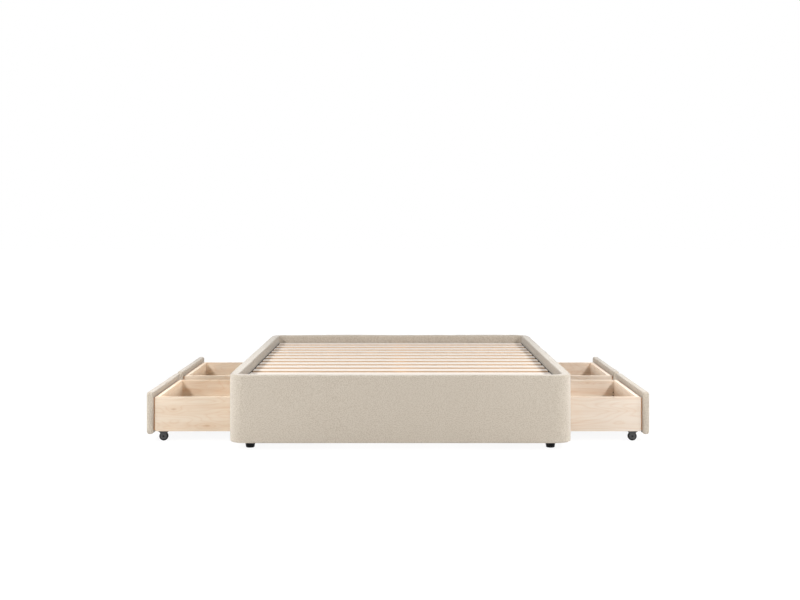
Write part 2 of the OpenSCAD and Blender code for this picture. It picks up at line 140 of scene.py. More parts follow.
floor_mesh = bpy.data.meshes.new("floor")
floor_mesh.from_pydata([(-FLOOR_HALF, -FLOOR_HALF, 0), (FLOOR_HALF, -FLOOR_HALF, 0),
                        (FLOOR_HALF, FLOOR_HALF, 0), (-FLOOR_HALF, FLOOR_HALF, 0)], [], [(0, 1, 2, 3)])
floor = bpy.data.objects.new("floor", floor_mesh)
bpy.context.collection.objects.link(floor)
floor_paint = bpy.data.materials.new("floor")
floor_paint.use_nodes = True
paint_tree = floor_paint.node_tree
matt = paint_tree.nodes["Principled BSDF"]
matt.inputs["Base Color"].default_value = (FLOOR_BOUNCE, FLOOR_BOUNCE, FLOOR_BOUNCE, 1)
matt.inputs["Roughness"].default_value = 1.0
matt.inputs["Specular IOR Level"].default_value = 0.0
glow = part(paint_tree, "Emission", {"Color": (1, 1, 1, 1), "Strength": FLOOR_GLOW})
# What the viewer sees of the floor is mostly glow, and only glow beyond the reach of the bed's shadow
floor_place = part(paint_tree, "TexCoord").outputs["Object"]
from_bed = part(paint_tree, "VectorMath", {0: floor_place}, operation="LENGTH").outputs["Value"]
share = part(paint_tree, "MapRange", {"Value": from_bed, "From Min": SHADE_REACH[0],
                                      "From Max": SHADE_REACH[1], "To Min": 1.0 - FLOOR_SHADE,
                                      "To Max": 1.0}).outputs[0]
mostly = part(paint_tree, "Math", {0: seen_directly(paint_tree), 1: share}, operation="MULTIPLY")
shade = part(paint_tree, "MixShader", {0: mostly.outputs[0], 1: matt.outputs[0], 2: glow.outputs[0]})
paint_tree.links.new(shade.outputs[0], paint_tree.nodes["Material Output"].inputs["Surface"])
floor_mesh.materials.append(floor_paint)


# Upholstery fabric: a beige woven cloth with soft slubs and a mottled tone, on the covers of the
# base and on the drawer fronts alike. The threads follow the cloth, so they read its UV map,
# which is in metres.
FABRIC_DARK = (0.505, 0.435, 0.350, 1)
FABRIC_PALE = (0.625, 0.560, 0.475, 1)
SHEEN_TINT = (1.0, 0.98, 0.95, 1)
THREAD_PITCH = 0.0021
THREAD_STRETCH = 0.09
SLUB_PITCHES = 1.2
WAVES_PER_SCALE = 20
WEAVE_SHARE = 0.55
MOTTLE_SIZE = 0.0048
MOTTLE_CONTRAST = 5.8
MOTTLE_OFFSET = -2.53
MOTTLE_RELIEF = 0.6
BROAD_SCALE = 7.0
BROAD_SHARE = 0.22
NAP_SCALE = 420.0
NAP_RELIEF = 0.5


def new_material(name):
    """A material, its node tree and its Principled shader."""
    material = bpy.data.materials.new(name)
    material.use_nodes = True
    return material, material.node_tree, material.node_tree.nodes["Principled BSDF"]


def noise(tree, place, scale, detail, **more):
    """The value of a noise texture, from 0 to 1."""
    sockets = {"Vector": place, "Scale": scale, "Detail": detail, **more}
    return part(tree, "TexNoise", sockets).outputs["Fac"]


def times(tree, value, gain):
    """value * gain."""
    return part(tree, "Math", {0: value, 1: gain}, operation="MULTIPLY").outputs[0]


def times_plus(tree, value, gain, more, clamp=False):
    """value * gain + more, held between 0 and 1 where clamp is set."""
    return part(tree, "Math", {0: value, 1: gain, 2: more}, operation="MULTIPLY_ADD",
                use_clamp=clamp).outputs[0]


def blend(tree, factor, first, second):
    """A colour from the first, at a factor of 0, to the second, at 1."""
    return part(tree, "Mix", {"Factor": factor, 6: first, 7: second}, data_type="RGBA").outputs[2]


def emboss(tree, shader, height, strength, distance):
    """Bumps a shader's surface by a height, over a distance in metres."""
    bump = part(tree, "Bump", {"Strength": strength, "Distance": distance, "Height": height}).outputs[0]
    tree.links.new(bump, shader.inputs["Normal"])


def woven_fabric(name):
    """Warp and weft are sine bands across UV, broken by noise that is stretched along each thread.
    Their height drives the bump, and with a mottle of noise it mixes the two tones of the yarn."""
    material, tree, shader = new_material(name)
    coordinates = part(tree, "TexCoord").outputs
    place = coordinates["Object"]
    threads = []
    for axis, stretch in (("X", (1.0, THREAD_STRETCH, 1.0)), ("Y", (THREAD_STRETCH, 1.0, 1.0))):
        along = part(tree, "Mapping", {"Vector": coordinates["UV"], "Scale": stretch}).outputs[0]
        slub = noise(tree, along, 1 / (THREAD_PITCH * SLUB_PITCHES), 1.0)
        bands = part(tree, "TexWave", {"Vector": coordinates["UV"],
                                       "Scale": 2 * math.pi / (WAVES_PER_SCALE * THREAD_PITCH),
                                       "Distortion": 1.2, "Detail": 1.0, "Detail Scale": 0.6},
                     wave_type="BANDS", bands_direction=axis).outputs["Fac"]
        threads.append(times(tree, bands, slub))
    weave = part(tree, "Math", {0: threads[0], 1: threads[1]}, operation="MAXIMUM").outputs[0]
    mottle = noise(tree, place, 1 / MOTTLE_SIZE, 3.0, Roughness=0.6)
    tone = times_plus(tree, mottle, MOTTLE_CONTRAST, MOTTLE_OFFSET)
    tone = times_plus(tree, noise(tree, place, BROAD_SCALE, 2.0), BROAD_SHARE, tone)
    tone = times_plus(tree, weave, WEAVE_SHARE, tone, clamp=True)
    relief = times_plus(tree, noise(tree, place, NAP_SCALE, 2.0), NAP_RELIEF, weave)
    relief = times_plus(tree, mottle, MOTTLE_RELIEF, relief)
    tree.links.new(blend(tree, tone, FABRIC_DARK, FABRIC_PALE), shader.inputs["Base Color"])
    emboss(tree, shader, relief, 0.55, 0.0009)
    shader.inputs["Roughness"].default_value = 0.95
    shader.inputs["Specular IOR Level"].default_value = 0.15
    shader.inputs["Sheen Weight"].default_value = 0.7
    shader.inputs["Sheen Roughness"].default_value = 0.45
    shader.inputs["Sheen Tint"].default_value = SHEEN_TINT
    return material


fabric = woven_fabric("beige_fabric")


# Covers of the base: foam and fabric drawn over the boards, over the top edge and down the inside
# of the rim, and stapled under the boards. The foot and head covers hold the rounded corners; the
# side covers are cut for two drawers each, with the fabric turned in round the cuts.
foot_low, foot_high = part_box("foot_cover")
left_low, left_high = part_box("left_cover")
board_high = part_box("left_board")[1]
slats_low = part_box("slats")[0]
pad_low, pad_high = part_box("left_front_drawer_pad")
rear_low, rear_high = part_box("left_rear_drawer_pad")
HALF_WIDTH = foot_high[0]
HALF_LENGTH = -foot_low[1]
GROUND = foot_low[2]
RIM_TOP = foot_high[2]
CORNER_RADIUS = foot_high[1] - foot_low[1]
RIM_WIDTH = left_high[0] - left_low[0]
SIDE_RUN = left_high[1]
BOARD_BACK = board_high[0] - left_low[0]
HEM_GAP = 0.0005
INNER_BOTTOM = slats_low[2] + HEM_GAP
CUT_CLEARANCE = 0.003
CUT_TOP = pad_high[2] + CUT_CLEARANCE
OUTER_ROUND = 0.009
INNER_ROUND = 0.011
BOTTOM_ROUND = 0.007
HEM_ROUND = 0.003
CUT_ROUND = 0.007
CLOTH_THICKNESS = 0.0007
FACE_STEP = 0.006
FINE_STEP = 0.0016
RIM_STEP = 0.004
INNER_STEP = 0.005
ROUNDING = 1e-6


def run(start, end, step):
    """Points along a straight line, without its end."""
    start, end = np.array(start, float), np.array(end, float)
    count = max(1, int(round(np.linalg.norm(end - start) / step)))
    return start + (end - start) * (np.arange(count) / count)[:, None]


def arc(centre, radius, start, end, count):
    """Points round a circle from one angle to another, in degrees, without its end."""
    angle = np.radians(start + (end - start) * np.arange(count) / count)
    return np.array(centre) + radius * np.stack([np.cos(angle), np.sin(angle)], axis=1)


def cover_section():
    """The cover's section from the staples under the board, round the outside, the top and the inside.
    First column: distance inwards from the outer face; second: height."""
    return np.concatenate([
        run((BOARD_BACK, GROUND), (BOTTOM_ROUND, GROUND), FACE_STEP),
        arc((BOTTOM_ROUND, GROUND + BOTTOM_ROUND), BOTTOM_ROUND, 270, 180, 5),
        run((0, GROUND + BOTTOM_ROUND), (0, CUT_TOP), FACE_STEP),
        run((0, CUT_TOP), (0, CUT_TOP + CUT_ROUND), FINE_STEP),
        run((0, CUT_TOP + CUT_ROUND), (0, RIM_TOP - OUTER_ROUND), FACE_STEP),
        arc((OUTER_ROUND, RIM_TOP - OUTER_ROUND), OUTER_ROUND, 180, 90, 8),
        run((OUTER_ROUND, RIM_TOP), (RIM_WIDTH - INNER_ROUND, RIM_TOP), RIM_STEP),
        arc((RIM_WIDTH - INNER_ROUND, RIM_TOP - INNER_ROUND), INNER_ROUND, 90, 0, 7),
        run((RIM_WIDTH, RIM_TOP - INNER_ROUND), (RIM_WIDTH, INNER_BOTTOM + HEM_ROUND), INNER_STEP),
        arc((RIM_WIDTH - HEM_ROUND, INNER_BOTTOM + HEM_ROUND), HEM_ROUND, 0, -90, 3),
        run((RIM_WIDTH - HEM_ROUND, INNER_BOTTOM), (BOARD_BACK, INNER_BOTTOM), RIM_STEP),
    ])


def lengths(line):
    """The distance along a line of points, from its start."""
    return np.concatenate([[0], np.cumsum(np.linalg.norm(np.diff(line, axis=0), axis=1))])


# Where the section lies on the outside, and how near it is to the top of the rim, from 0 to 1
SECTION = cover_section()
SECTION_LENGTH = lengths(SECTION)
TOP_REACH = 0.05
ON_FACE = (SECTION[:, 0] < BOTTOM_ROUND + ROUNDING) & (SECTION[:, 1] < RIM_TOP - OUTER_ROUND)
NEAR_TOP = np.clip((SECTION[:, 1] - (RIM_TOP - TOP_REACH)) / TOP_REACH, 0, 1) ** 2

# Ripples of the fabric over the foam, each with its height, wavelength and seed
RIPPLE_WAVES = 7
RIM_RIPPLES = ((0.0011, 0.42, 3), (0.0004, 0.11, 5))
FACE_RIPPLES = ((0.0004, 0.5, 8), (0.00015, 0.09, 9))


def ripple(points, length, seed):
    """A smooth random height between about -1 and 1: a mean of sine waves across space,
    each with its own direction and phase and a wavelength near the given length."""
    chance = np.random.default_rng(seed)
    total = np.zeros(points.shape[:-1])
    for _ in range(RIPPLE_WAVES):
        direction = chance.normal(size=3)
        direction *= 2 * math.pi / (np.linalg.norm(direction) * length * chance.uniform(0.7, 1.5))
        total += np.sin(points @ direction + chance.uniform(0, 2 * math.pi))
    return total / (RIPPLE_WAVES / 2)


def grid_normals(points):
    """Unit normals of a grid of points: the cross product of its differences down and across."""
    normal = np.cross(np.gradient(points, axis=0), np.gradient(points, axis=1))
    return normal / np.maximum(np.linalg.norm(normal, axis=-1, keepdims=True), 1e-12)


def settled(points):
    """The sheet as fabric over foam: it rises and falls slowly along the rim, and less on the faces."""
    swell = sum(height * ripple(points, length, seed) for height, length, seed in RIM_RIPPLES)
    calm = sum(height * ripple(points, length, seed) for height, length, seed in FACE_RIPPLES)
    weight = NEAR_TOP[None, :]
    return points + grid_normals(points) * (weight * swell + (1 - weight) * calm)[..., None]


def grid_piece(name, sheets, material, thickness=0.0):
    """One mesh from grids of points, each with its UV and the cells it keeps. A cell's normal is the
    cross product of the steps down and across its grid. Grids that meet are sewn together."""
    all_points, all_uv, all_faces, offset = [], [], [], 0
    for points, uv, keep in sheets:
        rows, columns = points.shape[:2]
        corner = np.arange(rows - 1)[:, None] * columns + np.arange(columns - 1)[None, :]
        corner = corner.ravel() if keep is None else corner[keep]
        faces = np.stack([corner, corner + columns, corner + columns + 1, corner + 1], axis=1)
        used, index = np.unique(faces, return_inverse=True)
        faces = index.reshape(faces.shape)
        all_points.append(points.reshape(-1, 3)[used])
        all_uv.append(uv.reshape(-1, 2)[used][faces.ravel()])
        all_faces.append(faces + offset)
        offset += len(used)
    faces = np.concatenate(all_faces)
    mesh = bpy.data.meshes.new(name)
    mesh.from_pydata(np.concatenate(all_points).tolist(), [], faces.tolist())
    layer = mesh.uv_layers.new(name="UVMap")
    layer.data.foreach_set("uv", np.concatenate(all_uv).ravel())
    sewn = bmesh.new()
    sewn.from_mesh(mesh)
    bmesh.ops.remove_doubles(sewn, verts=sewn.verts, dist=1e-5)
    sewn.to_mesh(mesh)
    sewn.free()
    mesh.polygons.foreach_set("use_smooth", np.ones(len(mesh.polygons), bool))
    mesh.materials.append(material)
    piece = bpy.data.objects.new(name, mesh)
    bpy.context.collection.objects.link(piece)
    if thickness:
        shell = piece.modifiers.new("Thickness", "SOLIDIFY")
        shell.thickness = thickness
        shell.offset = -1
    return piece


def finish_cover(piece, node):
    """Sets a padded cover in place of its node."""
    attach(piece, "base")
    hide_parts(node)


def pairs(down, across):
    """A grid of UV: one number for each row and one for each column."""
    return np.stack(np.broadcast_arrays(down[:, None], across[None, :]), axis=-1)


# The foam gathers in fine folds where it is drawn round the inside of each corner
CORNER_POINTS = 25
END_STEP = 0.009
THREAD_ROW = 40
GATHER_TURN = 0.75
GATHER_START = 0.028
GATHER_FADE = 0.015
CREASE_HEIGHT = 0.0005
CREASE_BASE = 0.0002
CREASE_RATE = 7.0
CREASE_PHASE = 0.6


def end_cover(name, node, at_head):
    """The section carried round one end: round a corner, across the bed, and round the other corner.
    A point is a centre on the path, plus the corner's radius less the inset, outwards."""
    centre_x, centre_y = HALF_WIDTH - CORNER_RADIUS, HALF_LENGTH - CORNER_RADIUS
    straight = run((-centre_x, 0), (centre_x, 0), END_STEP)[1:, 0]
    bend = np.radians(np.linspace(180, 270, CORNER_POINTS))
    centres = np.concatenate([np.full(CORNER_POINTS, -centre_x), straight, np.full(CORNER_POINTS, centre_x)])
    angle = np.concatenate([bend, np.full(len(straight), 1.5 * math.pi), bend + math.pi / 2])
    outward = np.stack([np.cos(angle), np.sin(angle)], axis=1)
    reach = CORNER_RADIUS - SECTION[:, 0]
    points = np.zeros((len(centres), len(SECTION), 3))
    points[..., 0] = centres[:, None] + reach[None, :] * outward[:, :1]
    points[..., 1] = -centre_y + reach[None, :] * outward[:, 1:]
    points[..., 2] = SECTION[None, :, 1]
    uv = pairs(lengths(points[:, THREAD_ROW]), SECTION_LENGTH)
    from_middle = np.where(centres == -centre_x, angle - 1.25 * math.pi, angle - 1.75 * math.pi)
    gather = np.clip(1 - np.abs(from_middle) / GATHER_TURN, 0, 1)
    inside = np.clip((SECTION[:, 0] - GATHER_START) / GATHER_FADE, 0, 1)
    crease = CREASE_HEIGHT * np.abs(np.sin(CREASE_RATE * from_middle + CREASE_PHASE)) - CREASE_BASE
    points = settled(points)
    points -= grid_normals(points) * ((gather * crease)[:, None] * inside[None, :])[..., None]
    if at_head:
        points = points * np.array([-1, -1, 1])
    finish_cover(grid_piece(name, [(points, uv, None)], fabric, CLOTH_THICKNESS), node)


end_cover("foot_upholstery", "foot_cover", at_head=False)
end_cover("head_upholstery", "head_cover", at_head=True)

SIDE_STEP = 0.012
STEP_GROWTH = 0.35
TURN_IN_ROWS = 9
TURN_IN_GAP = 0.001


def graded(start, end, fine, coarse):
    """Positions from start to end, close together at both ends and wider between."""
    half = (end - start) / 2
    steps = [0.0]
    while steps[-1] + fine < half:
        steps.append(steps[-1] + min(coarse, fine + STEP_GROWTH * steps[-1]))
    near = np.array(steps[:-1])
    return np.concatenate([start + near, [start + half], (end - near)[::-1]])


def side_cover(name, node, side):
    """The section carried straight along a side. A cell inside a drawer's cut is left out, the sheet
    rounds inwards as it nears a cut, and a strip turns the fabric in as far as the board's back."""
    cuts = [(pad_low[1] - CUT_CLEARANCE, pad_high[1] + CUT_CLEARANCE),
            (rear_low[1] - CUT_CLEARANCE, rear_high[1] + CUT_CLEARANCE)]
    stops = [-SIDE_RUN, *cuts[0], *cuts[1], SIDE_RUN]
    spans = [graded(a, b, FINE_STEP, SIDE_STEP)[:-1] for a, b in zip(stops[:-1], stops[1:])]
    y = np.concatenate([*spans, [SIDE_RUN]])
    height = SECTION[:, 1]
    top_row = int(np.argmax(height > CUT_TOP - ROUNDING))
    first_row = int(np.argmax(SECTION[:, 0] < BOTTOM_ROUND + ROUNDING))
    to_cut = np.full((len(y), len(SECTION)), 1.0)
    hole = np.zeros((len(y) - 1, len(SECTION) - 1), bool)
    middle = (y[1:] + y[:-1]) / 2
    below = np.arange(len(SECTION) - 1) < top_row
    for low, high in cuts:
        beside = np.maximum(np.maximum(low - y, y - high), 0)[:, None]
        over = np.maximum(height - CUT_TOP, 0)[None, :]
        to_cut = np.minimum(to_cut, np.hypot(beside, over))
        hole |= ((middle > low) & (middle < high))[:, None] & below[None, :]
    inside = np.clip(CUT_ROUND - to_cut, 0, CUT_ROUND)
    sink = CUT_ROUND - np.sqrt(CUT_ROUND ** 2 - inside ** 2)
    inset = np.where(ON_FACE[None, :], np.maximum(SECTION[None, :, 0], sink), SECTION[None, :, 0])
    points = np.stack(np.broadcast_arrays(HALF_WIDTH - inset, y[:, None], height[None, :]), axis=-1)
    points = settled(points)
    uv = pairs(y, SECTION_LENGTH)
    depth = np.linspace(0, 1, TURN_IN_ROWS)
    sheets = [(points, uv, ~hole)]
    for low, high in cuts:
        near, far = int(np.argmin(np.abs(y - low))), int(np.argmin(np.abs(y - high)))
        edge = np.concatenate([points[near, first_row:top_row], points[near:far, top_row],
                               points[far, first_row:top_row + 1][::-1]])
        back = edge.copy()
        back[:, 0] = HALF_WIDTH - BOARD_BACK - TURN_IN_GAP
        strip = edge[:, None] + (back - edge)[:, None] * depth[None, :, None]
        sheets.append((strip[:, ::-1], pairs(lengths(edge), (depth * BOARD_BACK)[::-1]), None))
    if side < 0:
        mirror = np.array([-1, 1, 1])
        sheets = [((grid * mirror)[::-1], threads[::-1], None if kept is None else kept[::-1])
                  for grid, threads, kept in sheets]
    finish_cover(grid_piece(name, sheets, fabric, CLOTH_THICKNESS), node)


side_cover("left_upholstery", "left_cover", -1)
side_cover("right_upholstery", "right_cover", 1)


# Drawer fronts: a board wrapped in foam and the same fabric, which is turned in behind the board
# and stapled round the spacer that the box is screwed to. The form is swollen by cloth simulation,
# then opened behind the spacer, and the fabric is folded under at each corner.
DRAWERS = ("left_front", "left_rear", "right_front", "right_rear")
PAD_LENGTH = pad_high[1] - pad_low[1]
PAD_HEIGHT = pad_high[2] - pad_low[2]
PAD_DEPTH = pad_high[0] - pad_low[0]
PAD_CORNER = 0.014
PAD_FACE_ROUND = 0.009
PAD_BACK_ROUND = 0.008
PAD_DRAW_IN = 0.0009
HELD_DEPTH = 0.012
BACK_DEPTH = 0.022
VOXEL = 0.005
PUFF_PRESSURE = 4.0
PUFF_FRAMES = 20
PUFF_LIMIT = 0.0018
FOAM_FULLNESS = 0.0025
FOLD_DEPTH = 0.0010
FOLD_WIDTH = 0.0035
FOLD_REACH = 0.030
FOLD_SLANT = 0.55
FOLD_SPREAD = 1.3
PAD_CLOTH = 0.0007
PAD_RIPPLE = (0.00035, 0.16, 21)
LONG_POINTS = 61
SHORT_POINTS = 17
ARC_POINTS = 6
FACE_INSETS = (0.03, 0.018)
BACK_INSET = 0.02
SPACER_INSET = 0.005
SPACER_CLEARANCE = 0.0003


def pad_ring(inset, depth):
    """One loop round the pad's outline at an inset from it and a depth behind its face. Each straight
    side bows inwards by a half sine, and each corner is an arc whose radius shrinks with the inset."""
    radius = max(PAD_CORNER - inset, 0.0)
    low, high_y, high_z = inset + radius, PAD_LENGTH - inset - radius, PAD_HEIGHT - inset - radius
    bow = PAD_DRAW_IN * np.sin(np.linspace(0, math.pi, LONG_POINTS)[:-1])
    bow_short = PAD_DRAW_IN * np.sin(np.linspace(0, math.pi, SHORT_POINTS)[:-1])
    across = np.linspace(high_y, low, LONG_POINTS)[:-1]
    down = np.linspace(high_z, low, SHORT_POINTS)[:-1]
    loop = np.concatenate([
        np.stack([across, high_z + radius - bow], axis=1),
        arc((low, high_z), radius, 90, 180, ARC_POINTS),
        np.stack([low - radius + bow_short, down], axis=1),
        arc((low, low), radius, 180, 270, ARC_POINTS),
        np.stack([across[0] + low - across, low - radius + bow], axis=1),
        arc((high_y, low), radius, 270, 360, ARC_POINTS),
        np.stack([high_y + radius - bow_short, down[0] + low - down], axis=1),
        arc((high_y, high_z), radius, 0, 90, ARC_POINTS),
    ])
    loop = np.concatenate([loop, loop[:1]])
    return np.column_stack([np.full(len(loop), depth), loop])


def pad_form():
    """Rings from the middle of the face outwards, round the edge, and over the back to its middle.
    The first and last ring close to a line in the middle."""
    middle = PAD_HEIGHT / 2
    bend = np.radians(np.linspace(0, 90, ARC_POINTS + 1))
    near, far = 1 - np.sin(bend), 1 - np.cos(bend)
    sections = [(inset, 0.0) for inset in (middle, middle * 0.75, middle * 0.5, *FACE_INSETS)]
    sections += list(zip(PAD_FACE_ROUND * near, PAD_FACE_ROUND * far))
    sections += list(zip(PAD_BACK_ROUND * far, PAD_DEPTH - PAD_BACK_ROUND * near))
    sections += [(BACK_INSET, PAD_DEPTH), (middle * 0.5, PAD_DEPTH), (middle, PAD_DEPTH)]
    return np.stack([pad_ring(inset, depth) for inset, depth in sections], axis=0)


def vertices(mesh):
    """All points of a mesh as an array."""
    flat = np.empty(len(mesh.vertices) * 3)
    mesh.vertices.foreach_get("co", flat)
    return flat.reshape(-1, 3)


def evaluated(piece):
    """A new mesh with the piece's modifiers applied."""
    return bpy.data.meshes.new_from_object(piece.evaluated_get(bpy.context.evaluated_depsgraph_get()))


def swollen_pad():
    """The form remeshed in even voxels and blown up as cloth that is held behind its front part. A
    point moves only outwards, and no further than a limit. Returns the points and faces after one
    subdivision."""
    form = pad_form()
    flat = np.zeros(form.shape[:2] + (2,))
    seed = grid_piece("pad_form", [(form[::-1], flat, None)], fabric)
    remesh = seed.modifiers.new("Remesh", "REMESH")
    remesh.mode = "VOXEL"
    remesh.voxel_size = VOXEL
    pad = bpy.data.objects.new("pad_cloth", evaluated(seed))
    bpy.context.collection.objects.link(pad)
    start = vertices(pad.data)
    held = pad.vertex_groups.new(name="held")
    held.add(np.flatnonzero(start[:, 0] > HELD_DEPTH).tolist(), 1.0, "REPLACE")
    cloth = pad.modifiers.new("Cloth", "CLOTH")
    cloth.settings.use_pressure = True
    cloth.settings.uniform_pressure_force = PUFF_PRESSURE
    cloth.settings.effector_weights.gravity = 0.0
    cloth.settings.vertex_group_mass = "held"
    for step in range(1, PUFF_FRAMES + 1):
        bpy.context.scene.frame_set(step)
    shift = vertices(evaluated(pad)) - start
    pad.modifiers.remove(cloth)
    bpy.context.scene.frame_set(1)
    normal = np.empty(start.size)
    pad.data.vertices.foreach_get("normal", normal)
    normal = normal.reshape(-1, 3)
    out = np.clip(np.sum(shift * normal, axis=1), 0.0, PUFF_LIMIT)
    pad.data.vertices.foreach_set("co", (start + normal * out[:, None]).ravel())
    pad.data.update()
    smooth = pad.modifiers.new("Subdivision", "SUBSURF")
    smooth.levels = smooth.render_levels = 1
    finished = evaluated(pad)
    points = vertices(finished)
    corners = np.empty(len(finished.loops), int)
    finished.loops.foreach_get("vertex_index", corners)
    for piece in (seed, pad):
        bpy.data.objects.remove(piece)
    return points, corners.reshape(-1, 4)


def opened_back(points, faces):
    """Leaves out each face on the back that reaches over the spacer, and the points that only it used."""
    low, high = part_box("left_front_box_sides")
    margin = SPACER_INSET - SPACER_CLEARANCE
    near = np.array([low[1] - pad_low[1], low[2] - pad_low[2]]) + margin
    far = np.array([high[1] - pad_low[1], high[2] - pad_low[2]]) - margin
    over = np.all((points[:, 1:] > near) & (points[:, 1:] < far), axis=1) & (points[:, 0] > BACK_DEPTH)
    kept = faces[~np.any(over[faces], axis=1)]
    used, index = np.unique(kept, return_inverse=True)
    return points[used], index.reshape(kept.shape)


def folded_corners(points):
    """Depth of the folds: a groove that runs diagonally over the edge at each corner, with a cosine falloff
    along it and a Gaussian across it."""
    depth = np.zeros(len(points))
    for y, z in ((0, 0), (0, PAD_HEIGHT), (PAD_LENGTH, 0), (PAD_LENGTH, PAD_HEIGHT)):
        along_y, along_z = np.abs(points[:, 1] - y), np.abs(points[:, 2] - z)
        off = (along_y - along_z * FOLD_SLANT) / math.sqrt(FOLD_SPREAD)
        reach = np.clip(np.hypot(along_y, along_z) / FOLD_REACH, 0, 1)
        depth += FOLD_DEPTH * np.exp(-(off / FOLD_WIDTH) ** 2) * np.cos(reach * math.pi / 2) ** 2
    return depth * (points[:, 0] < BACK_DEPTH)


def face_normals(points, faces):
    """The cross product of each face's diagonals, along its normal."""
    return np.cross(points[faces[:, 2]] - points[faces[:, 0]], points[faces[:, 3]] - points[faces[:, 1]])


def box_uv(points, faces):
    """UV in metres, one flat projection for each face, along the axis that its normal lies nearest to."""
    main = np.argmax(np.abs(face_normals(points, faces)), axis=1)
    first = np.where(main == 1, 0, 1)
    second = np.where(main == 2, 0, 2)
    rows, corners = np.arange(len(faces))[:, None], np.arange(4)[None, :]
    return np.stack([points[faces][rows, corners, first[:, None]],
                     points[faces][rows, corners, second[:, None]]], axis=-1)


def surface_normals(points, faces):
    """Unit normals of the points: the sum of those of their faces."""
    normal = face_normals(points, faces)
    total = np.zeros_like(points)
    for corner in range(4):
        np.add.at(total, faces[:, corner], normal)
    return total / np.maximum(np.linalg.norm(total, axis=1, keepdims=True), 1e-12)


def drawer_front():
    """The swollen form with its corners folded and its back opened. The remesh and the subdivision draw
    the form in a little, so it is drawn out again to its full outline, and the foam stands a little
    fuller than the board's nominal size: the face moves out and the back stays."""
    points, faces = swollen_pad()
    if np.sum(surface_normals(points, faces)[:, 0] * (points[:, 0] - PAD_DEPTH / 2)) < 0:
        faces = faces[:, ::-1]
    points = points - surface_normals(points, faces) * folded_corners(points)[:, None]
    low, high = points.min(axis=0), points.max(axis=0)
    for axis, full in ((1, PAD_LENGTH), (2, PAD_HEIGHT)):
        points[:, axis] = (points[:, axis] - low[axis]) * full / (high[axis] - low[axis])
    points[:, 0] = np.minimum(points[:, 0], PAD_DEPTH)
    points[:, 0] -= FOAM_FULLNESS * (1 - points[:, 0] / PAD_DEPTH)
    return opened_back(points, faces)


front_points, front_faces = drawer_front()
for drawer in DRAWERS:
    low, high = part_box(drawer + "_drawer_pad")
    on_left = low[0] < 0
    place = np.array([low[0] if on_left else high[0], low[1], low[2]])
    points = front_points * np.array([1 if on_left else -1, 1, 1]) + place
    faces = front_faces if on_left else front_faces[:, ::-1]
    height, length, seed = PAD_RIPPLE
    points += surface_normals(points, faces) * (height * ripple(points, length, seed))[:, None]
    mesh = bpy.data.meshes.new(drawer + "_front_upholstery")
    mesh.from_pydata(points.tolist(), [], faces.tolist())
    mesh.uv_layers.new(name="UVMap").data.foreach_set("uv", box_uv(points, faces).ravel())
    mesh.polygons.foreach_set("use_smooth", np.ones(len(faces), bool))
    mesh.materials.append(fabric)
    pad = bpy.data.objects.new(drawer + "_front_upholstery", mesh)
    bpy.context.collection.objects.link(pad)
    skin = pad.modifiers.new("Thickness", "SOLIDIFY")
    skin.thickness = PAD_CLOTH
    skin.offset = -1
    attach(pad, drawer + "_drawer")
    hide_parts(drawer + "_drawer_pad")


# Drawer boxes: boards of solid softwood, planed and left bare, glued and screwed at the corners.
# The sides and the bottom have their grain across the bed, the front and back along it. The right
# drawers are cut from paler boards, and every bottom is a paler panel. The front and back boards are
# the side pine made paler by a gain: painted light that stands in for light on their inner faces.
PINE_PALE = {"left": (0.84, 0.712, 0.572), "right": (0.855, 0.745, 0.635)}
PINE_DARK = {"left": (0.73, 0.52, 0.35), "right": (0.75, 0.56, 0.41)}
PANEL_PALE = (0.90, 0.83, 0.75)
PANEL_DARK = (0.80, 0.66, 0.53)
CROSS_PAINTED_LIGHT_GAIN = 1.08
KNOT_COLOUR = (0.50, 0.29, 0.15, 1)
KNOT_CELLS = (5.5, 14.0)
KNOT_CHANCE = 0.5
KNOT_CORE = (0.01, 0.11)
KNOT_REACH = 0.42
KNOT_SWELL = 0.12
KNOT_SHARE = 0.22
RING_CELLS = (1.5, 11.0)
RING_COUNT = 17.0
RING_SHARPNESS = 3.0
RING_SHARE = 0.34
RING_RELIEF = -0.25
FIBRE_CELLS = (9.0, 480.0)
FIBRE_SHARE = 0.30
STREAK_CELLS = (1.2, 38.0)
STREAK_SHARE = 1.8
TONE_OFFSET = -0.86
THROUGH_SCALE = 0.1
WOOD_BUMP = 0.0004


def dress(material, *names):
    """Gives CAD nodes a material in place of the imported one."""
    for name in names:
        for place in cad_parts[name].material_slots:
            place.material = material


